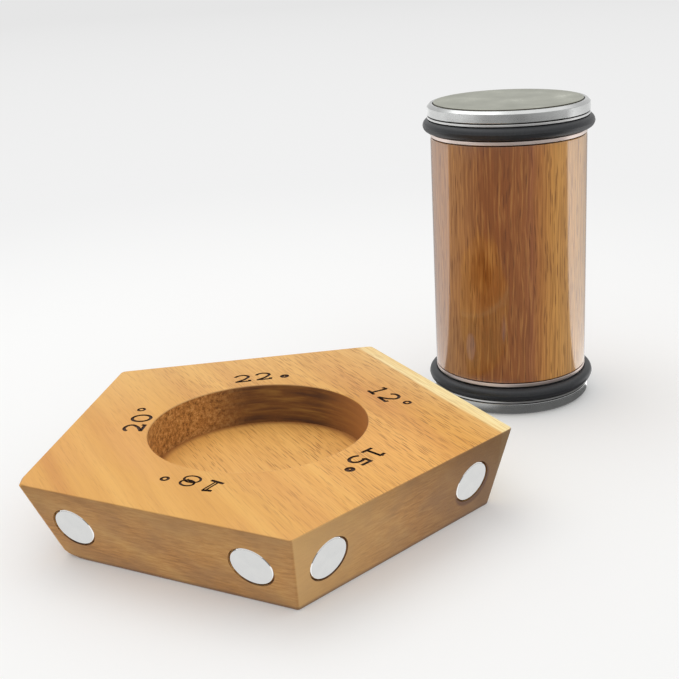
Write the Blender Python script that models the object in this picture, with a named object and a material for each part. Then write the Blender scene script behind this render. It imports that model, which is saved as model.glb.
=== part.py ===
"""Rolling knife sharpener: a five-sided magnetic angle block, and the roller that stands beside it.

Run with: blender --background --python part.py
Metres, +Z up. The origin is the middle of the block's underside, which lies on the table.
The block is a pentagon whose five sides each lean in towards the bottom by their own sharpening angle.
The roller is two wheels with rubber rings on one axle.
A wooden barrel turns on that axle in two ball bearings.
"""

import math

import bmesh
import bpy
from mathutils import Matrix, Vector

# Fits shared by all the pieces
seat_gap = 0.0003
running_gap = 0.0003
weld_distance = 0.000001
cut_overrun = 0.002

# Angle block
block_corner_radius = 0.0702
block_thickness = 0.0238
block_corner_rounding = 0.0014
block_edge_rounding = 0.0005
knife_angles_deg = {"22": 22.0, "12": 12.0, "15": 15.0, "18": 18.0, "20": 20.0}
first_corner_deg = 126.0
recess_radius = 0.0313
recess_depth = 0.0124
recess_rim_chamfer = 0.0004
recess_offset_x = -0.0016

# Magnets, two in each leaning side
magnet_radius = 0.0060
magnet_length = 0.0050
magnet_chamfer = 0.0004
magnet_pitch = 0.0540
magnet_sink = 0.0001

# Roller as a whole
roller_x = 0.0916
roller_y = 0.0659
roller_length = 0.1006

# Wheel, as the common size that the roller's pieces follow
wheel_radius = 0.0264
ring_stand_out = 0.0016
wheel_rim_width = 0.0021
barrel_step = 0.0009

# Disc carriers, the steel caps that screw off
carrier_thickness = 0.0040
carrier_top_chamfer = 0.0009
carrier_back_chamfer = 0.0002
carrier_web = 0.0014
carrier_boss_radius = 0.0120
carrier_boss_wall = 0.0035
carrier_boss_length = 0.0031

# Sharpening discs, bonded into the carriers
disc_thickness = 0.0009
disc_proud = 0.0003

# Wheel hubs and their rubber rings
o_ring_section_radius = 0.0021
hub_flange = 0.0009
hub_lip_height = 0.0005
hub_axle_bite = 0.0010
hub_neck_length = 0.0006

# Axle, hub screws and washers
axle_radius = 0.0037
axle_thread_depth = 0.0150
screw_radius = 0.0025
screw_length = 0.0120
screw_head_radius = 0.0046
screw_head_height = 0.0024
screw_head_crown = 0.0006
screw_socket_radius = 0.0017
screw_socket_depth = 0.0014
screw_socket_sides = 6
washer_radius = 0.0056
washer_thickness = 0.0008

# Ball bearings
bearing_radius = 0.0110
bearing_width = 0.0070
bearing_pitch_radius = 0.0075
ball_radius = 0.00198
balls_per_bearing = 7
ball_clearance = 0.0002
inner_race_radius = 0.0060
outer_race_bore_radius = 0.0091
shield_thickness = 0.0004
shield_inset = 0.00015
shield_seat_step = 0.0011
shield_bore_clearance = 0.0004
cage_inner_radius = 0.0067
cage_outer_radius = 0.0083
cage_thickness = 0.0004
cage_finger_length = 0.0034
cage_slices_per_ball = 4

# Barrel: a wooden sleeve with a metal end ring at each end
barrel_bore_radius = 0.0090
barrel_edge_chamfer = 0.0002
end_ring_flange = 0.0012
end_ring_cup_wall = 0.0044
end_ring_shoulder = 0.0014
end_ring_shoulder_step = 0.0015
end_ring_edge_chamfer = 0.0002

# Smoothness of the round pieces
outer_segments = 36
bearing_segments = 24
magnet_segments = 20
recess_segments = 48
ring_section_segments = 8
groove_segments = 5
raceway_segments = 4
ball_subdivision_count = 2
edge_segments = 2
round_edge_share = 0.5
sharp_edge_deg = 30.0

# Sizes across the roller that follow the wheel
disc_radius = wheel_radius - wheel_rim_width
o_ring_radius = wheel_radius + ring_stand_out
barrel_radius = wheel_radius - barrel_step

# Places along the roller, as depths from the face of the nearer sharpening disc
hub_face_depth = carrier_thickness + seat_gap
o_ring_depth = hub_face_depth + hub_flange + o_ring_section_radius
o_ring_centre_radius = o_ring_radius - o_ring_section_radius
hub_groove_radius = o_ring_section_radius + seat_gap
hub_back_depth = o_ring_depth + o_ring_section_radius
hub_socket_depth = carrier_thickness + carrier_boss_length + seat_gap
axle_end_depth = hub_back_depth - hub_axle_bite + seat_gap
end_ring_depth = hub_back_depth + running_gap
end_ring_back_depth = end_ring_depth + end_ring_flange
wood_depth = end_ring_back_depth + seat_gap
bearing_depth = hub_back_depth + hub_neck_length + seat_gap
bearing_end_depth = bearing_depth + bearing_width
cup_shoulder_depth = bearing_end_depth + seat_gap
cup_end_depth = cup_shoulder_depth + end_ring_shoulder
screw_head_depth = hub_socket_depth - 2 * seat_gap - washer_thickness
bearing_seat_radius = bearing_radius + seat_gap
cup_radius = bearing_seat_radius + end_ring_cup_wall
race_groove_radius = ball_radius + ball_clearance

# Colours, roughness and metal share of each material
finishes = {
    "oiled_acacia": ((0.62, 0.36, 0.13), 0.55, 0.0),
    "oiled_walnut": ((0.28, 0.12, 0.05), 0.45, 0.0),
    "nickel_plate": ((0.80, 0.79, 0.76), 0.15, 1.0),
    "turned_steel": ((0.62, 0.61, 0.59), 0.30, 1.0),
    "spun_aluminium": ((0.78, 0.77, 0.75), 0.35, 1.0),
    "bearing_steel": ((0.66, 0.66, 0.67), 0.18, 1.0),
    "zinc_plated_steel": ((0.60, 0.61, 0.62), 0.35, 1.0),
    "moulded_nylon": ((0.75, 0.70, 0.58), 0.45, 0.0),
    "black_rubber": ((0.012, 0.012, 0.013), 0.55, 0.0),
    "diamond_grit": ((0.33, 0.36, 0.33), 0.75, 0.1),
    "ceramic_grit": ((0.16, 0.16, 0.17), 0.60, 0.0),
}


def clear_scene():
    for obj in list(bpy.data.objects):
        bpy.data.objects.remove(obj, do_unlink=True)


def finish_material(name):
    found = bpy.data.materials.get(name)
    if found:
        return found
    colour, roughness, metal = finishes[name]
    material = bpy.data.materials.new(name)
    material.use_nodes = True
    shader = material.node_tree.nodes["Principled BSDF"]
    shader.inputs["Base Color"].default_value = (*colour, 1.0)
    shader.inputs["Roughness"].default_value = roughness
    shader.inputs["Metallic"].default_value = metal
    return material


def add_object(name, mesh, finish, parent=None):
    """Puts a mesh in the scene as one named piece."""
    if not mesh.materials:
        mesh.materials.append(finish_material(finish))
    mesh.shade_smooth()
    mesh.set_sharp_from_angle(angle=math.radians(sharp_edge_deg))
    obj = bpy.data.objects.new(name, mesh)
    bpy.context.scene.collection.objects.link(obj)
    obj.parent = parent
    return obj


def add_empty(name, location, upside_down=False):
    """A placing frame. Local +Z points out of the roller's end, and turning it over serves the lower end."""
    empty = bpy.data.objects.new(name, None)
    bpy.context.scene.collection.objects.link(empty)
    empty.location = location
    if upside_down:
        empty.rotation_euler = (math.pi, 0.0, 0.0)
    return empty


def mesh_from(shape, name):
    bmesh.ops.recalc_face_normals(shape, faces=shape.faces)
    mesh = bpy.data.meshes.new(name)
    shape.to_mesh(mesh)
    shape.free()
    return mesh


def turned_mesh(name, outline, segments):
    """Spins an outline of (radius, height) points about Z. It closes on itself, or ends on the axis twice."""
    shape = bmesh.new()
    points = [shape.verts.new((radius, 0.0, height)) for radius, height in outline]
    edges = [shape.edges.new(pair) for pair in zip(points, points[1:])]
    if outline[0][0] > 0.0 or outline[-1][0] > 0.0:
        edges.append(shape.edges.new((points[-1], points[0])))
    bmesh.ops.spin(
        shape,
        geom=points + edges,
        cent=Vector(),
        axis=Vector((0, 0, 1)),
        angle=math.tau,
        steps=segments,
        use_merge=True,
    )
    bmesh.ops.remove_doubles(shape, verts=shape.verts, dist=weld_distance)
    return mesh_from(shape, name)


def from_end(outline):
    """Turns (radius, depth into the roller) points into (radius, height) points."""
    return [(radius, -depth) for radius, depth in outline]


def arc(centre_radius, centre_height, radius, start, end, steps):
    """Points of an arc in the outline's plane. Its angles are measured from outwards to up."""
    turns = [start + (end - start) * step / steps for step in range(steps + 1)]
    return [(centre_radius + radius * math.cos(a), centre_height + radius * math.sin(a)) for a in turns]


def half_width(radius, offset):
    """Half the width of a circle of this radius, measured this far from its centre."""
    return math.sqrt(radius * radius - offset * offset)


def side_normals():
    """Each side's knife angle name, with the direction it faces seen from above, going round clockwise."""
    step = 360.0 / len(knife_angles_deg)
    for index, name in enumerate(knife_angles_deg):
        middle = math.radians(first_corner_deg - (index + 0.5) * step)
        yield name, Vector((math.cos(middle), math.sin(middle), 0.0))


def side_distance(name, height):
    """How far the side stands from the block's axis at this height: it leans in towards the bottom."""
    top_distance = block_corner_radius * math.cos(math.pi / len(knife_angles_deg))
    return top_distance - (block_thickness - height) * math.tan(math.radians(knife_angles_deg[name]))


def block_corners(height):
    """The block's corners at this height, where neighbouring sides meet."""
    sides = list(side_normals())
    corners = []
    for index, (name, normal) in enumerate(sides):
        last_name, last_normal = sides[index - 1]
        distance = side_distance(name, height)
        last_distance = side_distance(last_name, height)
        spread = last_normal.x * normal.y - last_normal.y * normal.x
        corner_x = (last_distance * normal.y - distance * last_normal.y) / spread
        corner_y = (distance * last_normal.x - last_distance * normal.x) / spread
        corners.append(Vector((corner_x, corner_y, height)))
    return corners


def rise(edge):
    return abs(edge.verts[0].co.z - edge.verts[1].co.z)


def ease_edges(shape, edges, width):
    bmesh.ops.bevel(
        shape, geom=edges, offset=width, segments=edge_segments, profile=round_edge_share, affect="EDGES"
    )


def block_mesh():
    """The leaning five-sided prism with its corners rounded, then its top and bottom edges eased."""
    shape = bmesh.new()
    low = [shape.verts.new(corner) for corner in block_corners(0.0)]
    high = [shape.verts.new(corner) for corner in block_corners(block_thickness)]
    count = len(low)
    shape.faces.new(low)
    shape.faces.new(high)
    for index in range(count):
        after = (index + 1) % count
        shape.faces.new((low[index], low[after], high[after], high[index]))
    bmesh.ops.recalc_face_normals(shape, faces=shape.faces)
    uprights = [edge for edge in shape.edges if rise(edge) > block_thickness / 2]
    ease_edges(shape, uprights, block_corner_rounding)
    rims = [edge for edge in shape.edges if rise(edge) < block_thickness / 2]
    ease_edges(shape, rims, block_edge_rounding)
    return mesh_from(shape, "angle_block")


def add_cutter(name, mesh, target):
    """A hidden tool that a Boolean takes away from the target."""
    cutter = bpy.data.objects.new(name, mesh)
    bpy.context.scene.collection.objects.link(cutter)
    cutter.hide_render = True
    cutter.display_type = "WIRE"
    modifier = target.modifiers.new(name, "BOOLEAN")
    modifier.operation = "DIFFERENCE"
    modifier.solver = "EXACT"
    modifier.object = cutter
    return cutter


def magnet_places():
    """Name and placing matrix of each magnet's outer face: local +Z looks out of the leaning side."""
    for name, level_normal in side_normals():
        lean = math.radians(knife_angles_deg[name])
        out = level_normal * math.cos(lean) - Vector((0, 0, 1)) * math.sin(lean)
        along = Vector((0, 0, 1)).cross(level_normal)
        up = out.cross(along)
        middle = level_normal * side_distance(name, block_thickness / 2)
        middle.z = block_thickness / 2
        for side, way in (("left", -1), ("right", 1)):
            place = middle + along * (way * magnet_pitch / 2)
            turn = Matrix((along, up, out)).transposed().to_4x4()
            yield f"magnet_{name}_{side}", Matrix.Translation(place) @ turn


def magnet_pocket_mesh():
    """All ten pockets as one cutter."""
    shape = bmesh.new()
    deep = magnet_sink + magnet_length + seat_gap
    for _, place in magnet_places():
        bmesh.ops.create_cone(
            shape,
            cap_ends=True,
            segments=magnet_segments,
            radius1=magnet_radius + seat_gap,
            radius2=magnet_radius + seat_gap,
            depth=deep + cut_overrun,
            matrix=place @ Matrix.Translation((0, 0, (cut_overrun - deep) / 2)),
        )
    return mesh_from(shape, "magnet_pockets")


def build_angle_block():
    block = add_object("angle_block", block_mesh(), "oiled_acacia")
    rim_radius = recess_radius + recess_rim_chamfer
    floor_height = block_thickness - recess_depth
    rim_height = block_thickness - recess_rim_chamfer
    top_height = block_thickness + cut_overrun
    outline = [
        (0.0, top_height),
        (rim_radius + cut_overrun, top_height),
        (recess_radius, rim_height),
        (recess_radius, floor_height),
        (0.0, floor_height),
    ]
    recess = add_cutter("recess_cutter", turned_mesh("recess_cutter", outline, recess_segments), block)
    recess.location = (recess_offset_x, 0.0, 0.0)
    add_cutter("magnet_pocket_cutter", magnet_pocket_mesh(), block)


def build_magnets():
    outline = [
        (0.0, -magnet_sink),
        (magnet_radius - magnet_chamfer, -magnet_sink),
        (magnet_radius, -magnet_sink - magnet_chamfer),
        (magnet_radius, -magnet_sink - magnet_length),
        (0.0, -magnet_sink - magnet_length),
    ]
    mesh = turned_mesh("magnet", outline, magnet_segments)
    for name, place in magnet_places():
        magnet = add_object(name, mesh, "nickel_plate")
        magnet.matrix_world = place


def build_disc_carrier(end, frame):
    """A steel cap: a tray for the sharpening disc in front, and a hollow screw boss behind."""
    tray_floor = disc_thickness + seat_gap
    outline = [
        (0.0, tray_floor),
        (disc_radius + seat_gap, tray_floor),
        (disc_radius + seat_gap, disc_proud),
        (wheel_radius - carrier_top_chamfer, disc_proud),
        (wheel_radius, disc_proud + carrier_top_chamfer),
        (wheel_radius, carrier_thickness - carrier_back_chamfer),
        (wheel_radius - carrier_back_chamfer, carrier_thickness),
        (carrier_boss_radius, carrier_thickness),
        (carrier_boss_radius, carrier_thickness + carrier_boss_length),
        (carrier_boss_radius - carrier_boss_wall, carrier_thickness + carrier_boss_length),
        (carrier_boss_radius - carrier_boss_wall, tray_floor + carrier_web),
        (0.0, tray_floor + carrier_web),
    ]
    mesh = turned_mesh(f"{end}_disc_carrier", from_end(outline), outer_segments)
    add_object(f"{end}_disc_carrier", mesh, "turned_steel", frame)


def build_sharpening_disc(name, finish, frame):
    outline = [(0.0, 0.0), (disc_radius, 0.0), (disc_radius, disc_thickness), (0.0, disc_thickness)]
    add_object(name, turned_mesh(name, from_end(outline), outer_segments), finish, frame)


def build_wheel_hub(end, frame):
    """A turned wheel with a round groove for the rubber ring, a screw socket in front and a neck behind."""
    flange_offset = wheel_radius - o_ring_centre_radius
    lip_radius = o_ring_centre_radius - hub_groove_radius + hub_lip_height
    lip_offset = o_ring_centre_radius - lip_radius
    outer_turn = math.acos(flange_offset / hub_groove_radius)
    inner_turn = math.tau - math.acos(-lip_offset / hub_groove_radius)
    groove = arc(
        o_ring_centre_radius, -o_ring_depth, hub_groove_radius, outer_turn, inner_turn, groove_segments
    )
    socket_radius = carrier_boss_radius + seat_gap
    neck_radius = inner_race_radius
    axle_hole_radius = axle_radius + seat_gap
    screw_hole_radius = screw_radius + seat_gap
    neck_end = hub_back_depth + hub_neck_length
    axle_hole_end = axle_end_depth - seat_gap
    outline = from_end([(socket_radius, hub_face_depth), (wheel_radius, hub_face_depth)])
    outline += groove
    outline += from_end(
        [
            (lip_radius, hub_back_depth),
            (neck_radius, hub_back_depth),
            (neck_radius, neck_end),
            (axle_hole_radius, neck_end),
            (axle_hole_radius, axle_hole_end),
            (screw_hole_radius, axle_hole_end),
            (screw_hole_radius, hub_socket_depth),
            (socket_radius, hub_socket_depth),
        ]
    )
    mesh = turned_mesh(f"{end}_wheel_hub", outline, outer_segments)
    add_object(f"{end}_wheel_hub", mesh, "spun_aluminium", frame)


def build_rubber_ring(end, frame):
    section = arc(
        o_ring_centre_radius, -o_ring_depth, o_ring_section_radius, 0.0, math.tau, ring_section_segments
    )
    mesh = turned_mesh(f"{end}_rubber_ring", section[:-1], outer_segments)
    add_object(f"{end}_rubber_ring", mesh, "black_rubber", frame)


def build_hub_screw(end, frame):
    """A button head screw with a six-sided socket."""
    head_back = screw_head_depth
    head_front = head_back - screw_head_height
    outline = [
        (0.0, head_front),
        (screw_head_radius - screw_head_crown, head_front),
        (screw_head_radius, head_front + screw_head_crown),
        (screw_head_radius, head_back),
        (screw_radius, head_back),
        (screw_radius, head_back + screw_length),
        (0.0, head_back + screw_length),
    ]
    mesh = turned_mesh(f"{end}_hub_screw", from_end(outline), bearing_segments)
    screw = add_object(f"{end}_hub_screw", mesh, "zinc_plated_steel", frame)
    socket = [(0.0, cut_overrun), (screw_socket_radius, cut_overrun)]
    socket += [(screw_socket_radius, -screw_socket_depth), (0.0, -screw_socket_depth)]
    socket_mesh = turned_mesh("screw_socket", socket, screw_socket_sides)
    cutter = add_cutter(f"{end}_screw_socket_cutter", socket_mesh, screw)
    cutter.parent = frame
    cutter.location = (0.0, 0.0, -head_front)


def build_washer(end, frame):
    top = screw_head_depth + seat_gap
    bottom = top + washer_thickness
    bore = screw_radius + seat_gap
    outline = [(bore, top), (washer_radius, top), (washer_radius, bottom), (bore, bottom)]
    mesh = turned_mesh(f"{end}_washer", from_end(outline), bearing_segments)
    add_object(f"{end}_washer", mesh, "zinc_plated_steel", frame)


def build_inner_race(end, frame):
    half = bearing_width / 2
    bore = axle_radius + seat_gap
    reach = half_width(race_groove_radius, bearing_pitch_radius - inner_race_radius)
    start = math.atan2(-reach, inner_race_radius - bearing_pitch_radius)
    groove = arc(bearing_pitch_radius, 0.0, race_groove_radius, start + math.tau, -start, raceway_segments)
    outline = [(bore, -half), (inner_race_radius, -half)] + groove + [(inner_race_radius, half), (bore, half)]
    mesh = turned_mesh(f"{end}_inner_race", outline, bearing_segments)
    race = add_object(f"{end}_inner_race", mesh, "bearing_steel", frame)
    race.location = (0.0, 0.0, -bearing_depth - half)


def build_outer_race(end, frame):
    half = bearing_width / 2
    shield_seat = half - shield_inset - shield_thickness - seat_gap
    seat_radius = outer_race_bore_radius + shield_seat_step
    reach = half_width(race_groove_radius, outer_race_bore_radius - bearing_pitch_radius)
    turn = math.atan2(reach, outer_race_bore_radius - bearing_pitch_radius)
    groove = arc(bearing_pitch_radius, 0.0, race_groove_radius, turn, -turn, raceway_segments)
    outline = [
        (bearing_radius, -half),
        (bearing_radius, half),
        (seat_radius, half),
        (seat_radius, shield_seat),
        (outer_race_bore_radius, shield_seat),
    ]
    outline += groove
    outline += [
        (outer_race_bore_radius, -shield_seat),
        (seat_radius, -shield_seat),
        (seat_radius, -half),
    ]
    mesh = turned_mesh(f"{end}_outer_race", outline, bearing_segments)
    race = add_object(f"{end}_outer_race", mesh, "bearing_steel", frame)
    race.location = (0.0, 0.0, -bearing_depth - half)


def build_balls(end, frame):
    """Seven balls, spaced evenly round the raceway."""
    shape = bmesh.new()
    bmesh.ops.create_icosphere(shape, subdivisions=ball_subdivision_count, radius=ball_radius)
    mesh = mesh_from(shape, f"{end}_bearing_ball")
    middle = -bearing_depth - bearing_width / 2
    for index in range(balls_per_bearing):
        turn = math.tau * index / balls_per_bearing
        ball = add_object(f"{end}_bearing_ball_{index + 1}", mesh, "bearing_steel", frame)
        ball.location = (bearing_pitch_radius * math.cos(turn), bearing_pitch_radius * math.sin(turn), middle)


def build_cage(end, frame):
    """A crown cage: a ring beside the balls, with a finger between each ball and the next."""
    shape = bmesh.new()
    ring_height = ball_radius + ball_clearance
    steps = balls_per_bearing * cage_slices_per_ball
    start = -math.tau / balls_per_bearing / 2 - math.tau / steps / 2
    rings = []
    for radius in (cage_inner_radius, cage_outer_radius):
        for height in (ring_height, ring_height + cage_thickness):
            turns = [start + math.tau * step / steps for step in range(steps)]
            points = [(radius * math.cos(a), radius * math.sin(a), height) for a in turns]
            rings.append([shape.verts.new(point) for point in points])
    inner_low, inner_high, outer_low, outer_high = rings
    fingers = []
    for step in range(steps):
        after = (step + 1) % steps
        bottom = shape.faces.new((inner_low[step], inner_low[after], outer_low[after], outer_low[step]))
        shape.faces.new((inner_high[step], outer_high[step], outer_high[after], inner_high[after]))
        shape.faces.new((inner_low[step], inner_high[step], inner_high[after], inner_low[after]))
        shape.faces.new((outer_low[step], outer_low[after], outer_high[after], outer_high[step]))
        if step % cage_slices_per_ball == 0:
            fingers.append(bottom)
    for face in fingers:
        grown = bmesh.ops.extrude_face_region(shape, geom=[face])
        tips = [item for item in grown["geom"] if isinstance(item, bmesh.types.BMVert)]
        bmesh.ops.translate(shape, verts=tips, vec=(0.0, 0.0, -cage_finger_length))
        bmesh.ops.delete(shape, geom=[face], context="FACES_ONLY")
    cage = add_object(f"{end}_bearing_cage", mesh_from(shape, f"{end}_bearing_cage"), "moulded_nylon", frame)
    cage.location = (0.0, 0.0, -bearing_depth - bearing_width / 2)


def build_shields(end, frame):
    """The two thin plates that close the bearing, seated in the outer race."""
    inner = inner_race_radius + shield_bore_clearance
    outer = outer_race_bore_radius + shield_seat_step - seat_gap
    faces = (
        ("outer", bearing_depth + shield_inset),
        ("inner", bearing_end_depth - shield_inset - shield_thickness),
    )
    for face, near in faces:
        far = near + shield_thickness
        outline = [(inner, near), (outer, near), (outer, far), (inner, far)]
        name = f"{end}_bearing_{face}_shield"
        add_object(name, turned_mesh(name, from_end(outline), bearing_segments), "zinc_plated_steel", frame)


def build_end_ring(end, frame):
    """The bright collar at the end of the wood, with a cup behind it that holds the bearing."""
    shoulder_radius = bearing_radius - end_ring_shoulder_step
    outline = [
        (bearing_seat_radius, end_ring_depth),
        (barrel_radius - end_ring_edge_chamfer, end_ring_depth),
        (barrel_radius, end_ring_depth + end_ring_edge_chamfer),
        (barrel_radius, end_ring_back_depth),
        (cup_radius, end_ring_back_depth),
        (cup_radius, cup_end_depth),
        (shoulder_radius, cup_end_depth),
        (shoulder_radius, cup_shoulder_depth),
        (bearing_seat_radius, cup_shoulder_depth),
    ]
    mesh = turned_mesh(f"{end}_end_ring", from_end(outline), outer_segments)
    add_object(f"{end}_end_ring", mesh, "spun_aluminium", frame)


def build_wooden_barrel(frame):
    """The grip: a wooden sleeve, bored through for the axle and counterbored for the bearing cups."""
    half = roller_length / 2 - wood_depth
    cup_floor = roller_length / 2 - cup_end_depth - seat_gap
    counterbore = cup_radius + seat_gap
    edge = barrel_radius - barrel_edge_chamfer
    outline = [
        (counterbore, half),
        (edge, half),
        (barrel_radius, half - barrel_edge_chamfer),
        (barrel_radius, barrel_edge_chamfer - half),
        (edge, -half),
        (counterbore, -half),
        (counterbore, -cup_floor),
        (barrel_bore_radius, -cup_floor),
        (barrel_bore_radius, cup_floor),
        (counterbore, cup_floor),
    ]
    barrel = add_object(
        "wooden_barrel", turned_mesh("wooden_barrel", outline, outer_segments), "oiled_walnut", frame
    )
    barrel.location = (0.0, 0.0, roller_length / 2)


def build_axle(frame):
    """A steel bar with a tapped hole in each end."""
    half = roller_length / 2 - axle_end_depth
    hole = screw_radius + seat_gap
    outline = [
        (0.0, half - axle_thread_depth),
        (hole, half - axle_thread_depth),
        (hole, half),
        (axle_radius, half),
        (axle_radius, -half),
        (hole, -half),
        (hole, axle_thread_depth - half),
        (0.0, axle_thread_depth - half),
    ]
    axle = add_object("axle", turned_mesh("axle", outline, bearing_segments), "turned_steel", frame)
    axle.location = (0.0, 0.0, roller_length / 2)


def build_spacer_tube(frame):
    """The tube on the axle that keeps the two inner races apart."""
    half = roller_length / 2 - bearing_end_depth - seat_gap
    bore = axle_radius + seat_gap
    outline = [(bore, half), (inner_race_radius, half), (inner_race_radius, -half), (bore, -half)]
    mesh = turned_mesh("spacer_tube", outline, bearing_segments)
    tube = add_object("spacer_tube", mesh, "spun_aluminium", frame)
    tube.location = (0.0, 0.0, roller_length / 2)


def build_roller():
    roller_axis = add_empty("roller_axis", (roller_x, roller_y, 0.0))
    build_axle(roller_axis)
    build_spacer_tube(roller_axis)
    build_wooden_barrel(roller_axis)
    ends = (
        ("upper", roller_length, False, "diamond_disc", "diamond_grit"),
        ("lower", 0.0, True, "honing_disc", "ceramic_grit"),
    )
    for end, height, upside_down, disc_name, disc_finish in ends:
        frame = add_empty(f"{end}_end", (roller_x, roller_y, height), upside_down)
        build_sharpening_disc(disc_name, disc_finish, frame)
        build_disc_carrier(end, frame)
        build_wheel_hub(end, frame)
        build_rubber_ring(end, frame)
        build_hub_screw(end, frame)
        build_washer(end, frame)
        build_inner_race(end, frame)
        build_outer_race(end, frame)
        build_balls(end, frame)
        build_cage(end, frame)
        build_shields(end, frame)
        build_end_ring(end, frame)


def main():
    clear_scene()
    build_angle_block()
    build_magnets()
    build_roller()
    bpy.context.view_layer.update()


main()
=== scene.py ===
"""Looks of the rolling knife sharpener: the magnetic angle block and the roller that stands beside it.

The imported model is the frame: metres, +Z up, origin in the middle of the block's underside.
Every piece here stands for one of its solids and fills the same space, only finer.
"""

import math

import bmesh
import bpy
from mathutils import Matrix, Vector


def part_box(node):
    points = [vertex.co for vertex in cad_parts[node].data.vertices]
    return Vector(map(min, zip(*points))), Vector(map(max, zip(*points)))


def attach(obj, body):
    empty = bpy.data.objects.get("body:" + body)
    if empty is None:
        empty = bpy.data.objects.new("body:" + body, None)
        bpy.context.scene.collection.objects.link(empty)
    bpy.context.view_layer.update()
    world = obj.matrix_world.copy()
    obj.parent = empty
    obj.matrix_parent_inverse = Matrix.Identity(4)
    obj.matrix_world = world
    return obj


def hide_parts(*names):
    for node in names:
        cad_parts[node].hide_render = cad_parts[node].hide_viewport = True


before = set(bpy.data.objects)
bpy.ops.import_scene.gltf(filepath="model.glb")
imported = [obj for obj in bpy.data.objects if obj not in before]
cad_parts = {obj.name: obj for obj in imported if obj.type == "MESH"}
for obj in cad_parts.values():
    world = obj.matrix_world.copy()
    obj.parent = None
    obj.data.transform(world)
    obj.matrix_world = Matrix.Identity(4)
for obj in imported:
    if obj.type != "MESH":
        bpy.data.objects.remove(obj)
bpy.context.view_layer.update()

mm = 0.001
up = Vector((0.0, 0.0, 1.0))

# Fits that the pieces share
seat_gap = 0.3 * mm
cut_overrun = 1.0 * mm

# Angle block: its sides go round clockwise from the first corner
corner_radius = 70.2 * mm
corner_roundings = (1.4 * mm, 1.4 * mm, 1.4 * mm, 0.6 * mm, 1.4 * mm)
edge_rounding = 0.5 * mm
knife_angles = {"22": 22.0, "12": 12.0, "15": 15.0, "18": 18.0, "20": 20.0}
first_corner = 126.0
recess_radius = 31.3 * mm
recess_depth = 12.4 * mm
recess_offset = -1.6 * mm
recess_rim_rounding = 0.4 * mm
magnet_radius = 6.0 * mm
magnet_length = 5.0 * mm
magnet_chamfer = 0.4 * mm
magnet_pitch = 54.0 * mm
magnet_sink = 0.1 * mm
pocket_mouth = 0.05 * mm
mouth_lap = 0.1 * mm

# One worn corner. For its bottom and top tip: which way it points, its radius, and the tilts of its cuts
worn_corner = 4
worn_tips = ((-1, 3.4 * mm, (-35.0, -52.0, -70.0)), (1, 1.1 * mm, (10.0, 36.0, 62.0)))
worn_swings = (-22.0, 0.0, 22.0)

# Numbers burnt into the top, one for each side's angle
digit_stroke = 1.0 * mm
thin_stroke = 0.55 * mm
loop_stroke = 1.3 * thin_stroke
ring_stroke = 0.8 * mm
bold_stroke = 1.2 * mm
engraving_depth = 0.35 * mm
floor_step = 0.01 * mm
floor_levels = 5

# Where each sign's middle lies, in millimetres: along its side from the middle, and in from its top edge
number_places = {
    "22": (("2", -3.35, 18.3), ("2", 3.3, 18.1), ("bold degree", 9.9, 20.0)),
    "12": (("1", -4.0, 17.3), ("2", 2.5, 17.2), ("degree", 9.0, 15.0)),
    "15": (("1", -5.4, 18.5), ("5", 0.2, 18.5), ("bold degree", 5.8, 16.4)),
    "18": (("outlined 1", -7.8, 17.4), ("8", -1.1, 18.1), ("degree", 5.9, 16.8)),
    "20": (("2", -4.1, 19.5), ("0", 3.0, 19.5), ("degree", 9.5, 17.3)),
}
number_tilts = {"18": -8.0}

# Roller, as depths from the face of the nearer sharpening disc and radii from its axis
wheel_radius = 26.4 * mm
disc_radius = 24.3 * mm
disc_thickness = 0.9 * mm
disc_proud = 0.3 * mm
carrier_thickness = 4.0 * mm
carrier_chamfer = 0.9 * mm
carrier_web = 1.4 * mm
boss_radius = 12.0 * mm
boss_wall = 3.5 * mm
boss_length = 3.1 * mm
thread_pitch = 0.75 * mm
thread_depth = 0.38 * mm
ring_section = 2.1 * mm
ring_centre_radius = 25.9 * mm
ring_depth = 7.3 * mm
flash_height = 0.05 * mm
flash_half_turn = 0.06
hub_face = carrier_thickness + seat_gap
hub_back = ring_depth + ring_section
hub_lip_height = 0.5 * mm
socket_floor = carrier_thickness + boss_length + seat_gap
neck_length = 0.6 * mm
neck_radius = 6.0 * mm
axle_radius = 3.7 * mm
axle_end = hub_back - 0.7 * mm
axle_hole_depth = 15.0 * mm
screw_radius = 2.5 * mm
screw_length = 12.0 * mm
head_radius = 4.6 * mm
head_height = 2.4 * mm
head_crown = 0.9 * mm
socket_radius = 1.7 * mm
socket_depth = 1.4 * mm
washer_radius = 5.6 * mm
washer_thickness = 0.8 * mm
head_back = socket_floor - 2 * seat_gap - washer_thickness
barrel_radius = 25.5 * mm
barrel_bore = 9.0 * mm
end_ring_face = hub_back + seat_gap
end_ring_back = end_ring_face + 1.2 * mm
wood_face = end_ring_back + seat_gap
bearing_face = hub_back + neck_length + seat_gap
bearing_width = 7.0 * mm
bearing_radius = 11.0 * mm
bearing_pitch_radius = 7.5 * mm
bearing_back = bearing_face + bearing_width
ball_count = 7
ball_radius = 1.98 * mm
raceway_radius = 2.18 * mm
outer_race_bore = 9.1 * mm
shield_thickness = 0.4 * mm
shield_inset = 0.15 * mm
shield_step = 1.1 * mm
cup_radius = bearing_radius + seat_gap + 4.4 * mm
cup_shoulder = bearing_back + seat_gap
cup_end = cup_shoulder + 1.4 * mm
cup_bore = bearing_radius - 1.5 * mm

# Smoothness
fine_segments = 144
medium_segments = 72
ball_segments = (32, 20)
corner_segments = 8
fillet_steps = 4
thread_steps = 8
groove_steps = 18
raceway_steps = 16
ring_steps = 30
sharp_angle = math.radians(32.0)

# The block's grain runs along its 12 degree side
grain_turn = math.radians(72.0)
grain_along = Vector((math.cos(grain_turn), -math.sin(grain_turn), 0.0))

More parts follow.
